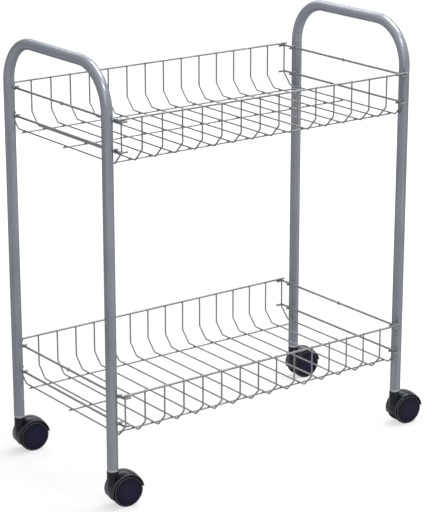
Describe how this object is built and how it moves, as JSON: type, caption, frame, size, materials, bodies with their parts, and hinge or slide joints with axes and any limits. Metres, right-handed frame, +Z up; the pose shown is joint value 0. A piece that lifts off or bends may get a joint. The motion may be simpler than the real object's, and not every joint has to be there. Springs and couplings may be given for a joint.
{
  "type": "wire basket trolley",
  "caption": "Rolling trolley of shallow wire baskets hung between bent tube end frames that stand on swivelling hooded casters, for keeping and moving files or goods.",
  "frame": {"origin": "on the floor, midway between the four legs", "axes": "+Z up, +X along the baskets towards the right end frame, +Y from the front of the baskets to the back"},
  "size_m": [0.5844, 0.2952, 0.6425],
  "materials": {
    "silver_paint": "satin silver-grey paint",
    "hood_plastic": "satin black moulding",
    "wheel_plastic": "fine-grained black moulding",
    "socket_plastic": "matte light grey moulding",
    "pin_steel": "bright zinc-plated steel"
  },
  "bodies": {
    "trolley": {"left_frame": "silver_paint", "right_frame": "silver_paint", "lower_basket_rib_grid": "silver_paint", "lower_basket_front_runner": "silver_paint", "lower_basket_middle_runner": "silver_paint", "lower_basket_back_runner": "silver_paint", "lower_basket_left_top_wire": "silver_paint", "lower_basket_right_top_wire": "silver_paint", "lower_basket_left_middle_wire": "silver_paint", "lower_basket_right_middle_wire": "silver_paint", "upper_basket_rib_grid": "silver_paint", "upper_basket_front_runner": "silver_paint", "upper_basket_middle_runner": "silver_paint", "upper_basket_back_runner": "silver_paint", "upper_basket_left_top_wire": "silver_paint", "upper_basket_right_top_wire": "silver_paint", "upper_basket_left_middle_wire": "silver_paint", "upper_basket_right_middle_wire": "silver_paint", "front_left_caster_socket": "socket_plastic", "front_right_caster_socket": "socket_plastic", "back_left_caster_socket": "socket_plastic", "back_right_caster_socket": "socket_plastic"},
    "front_left_caster": {"front_left_caster_hood": "hood_plastic", "front_left_caster_stem": "pin_steel", "front_left_caster_axle": "pin_steel"},
    "front_right_caster": {"front_right_caster_hood": "hood_plastic", "front_right_caster_stem": "pin_steel", "front_right_caster_axle": "pin_steel"},
    "back_left_caster": {"back_left_caster_hood": "hood_plastic", "back_left_caster_stem": "pin_steel", "back_left_caster_axle": "pin_steel"},
    "back_right_caster": {"back_right_caster_hood": "hood_plastic", "back_right_caster_stem": "pin_steel", "back_right_caster_axle": "pin_steel"},
    "front_left_front_wheel": {"front_left_caster_front_wheel": "wheel_plastic"},
    "front_left_back_wheel": {"front_left_caster_back_wheel": "wheel_plastic"},
    "front_right_front_wheel": {"front_right_caster_front_wheel": "wheel_plastic"},
    "front_right_back_wheel": {"front_right_caster_back_wheel": "wheel_plastic"},
    "back_left_front_wheel": {"back_left_caster_front_wheel": "wheel_plastic"},
    "back_left_back_wheel": {"back_left_caster_back_wheel": "wheel_plastic"},
    "back_right_front_wheel": {"back_right_caster_front_wheel": "wheel_plastic"},
    "back_right_back_wheel": {"back_right_caster_back_wheel": "wheel_plastic"}
  },
  "joints": [
    {"name": "front_left_swivel", "type": "hinge", "parent": "trolley", "child": "front_left_caster", "pos_m": [-0.2645, -0.127, 0.05], "axis": [0, 0, 1], "continuous": true},
    {"name": "front_right_swivel", "type": "hinge", "parent": "trolley", "child": "front_right_caster", "pos_m": [0.2645, -0.127, 0.05], "axis": [0, 0, 1], "continuous": true},
    {"name": "back_left_swivel", "type": "hinge", "parent": "trolley", "child": "back_left_caster", "pos_m": [-0.2645, 0.127, 0.05], "axis": [0, 0, 1], "continuous": true},
    {"name": "back_right_swivel", "type": "hinge", "parent": "trolley", "child": "back_right_caster", "pos_m": [0.2645, 0.127, 0.05], "axis": [0, 0, 1], "continuous": true},
    {"name": "front_left_front_spin", "type": "hinge", "parent": "front_left_caster", "child": "front_left_front_wheel", "pos_m": [-0.2456, -0.12899, 0.0235], "axis": [0.1045, 0.9945, 0], "continuous": true},
    {"name": "front_left_back_spin", "type": "hinge", "parent": "front_left_caster", "child": "front_left_back_wheel", "pos_m": [-0.2456, -0.12899, 0.0235], "axis": [0.1045, 0.9945, 0], "continuous": true},
    {"name": "front_right_front_spin", "type": "hinge", "parent": "front_right_caster", "child": "front_right_front_wheel", "pos_m": [0.2834, -0.12899, 0.0235], "axis": [0.1045, 0.9945, 0], "continuous": true},
    {"name": "front_right_back_spin", "type": "hinge", "parent": "front_right_caster", "child": "front_right_back_wheel", "pos_m": [0.2834, -0.12899, 0.0235], "axis": [0.1045, 0.9945, 0], "continuous": true},
    {"name": "back_left_front_spin", "type": "hinge", "parent": "back_left_caster", "child": "back_left_front_wheel", "pos_m": [-0.2456, 0.12501, 0.0235], "axis": [0.1045, 0.9945, 0], "continuous": true},
    {"name": "back_left_back_spin", "type": "hinge", "parent": "back_left_caster", "child": "back_left_back_wheel", "pos_m": [-0.2456, 0.12501, 0.0235], "axis": [0.1045, 0.9945, 0], "continuous": true},
    {"name": "back_right_front_spin", "type": "hinge", "parent": "back_right_caster", "child": "back_right_front_wheel", "pos_m": [0.2834, 0.12501, 0.0235], "axis": [0.1045, 0.9945, 0], "continuous": true},
    {"name": "back_right_back_spin", "type": "hinge", "parent": "back_right_caster", "child": "back_right_back_wheel", "pos_m": [0.2834, 0.12501, 0.0235], "axis": [0.1045, 0.9945, 0], "continuous": true}
  ]
}
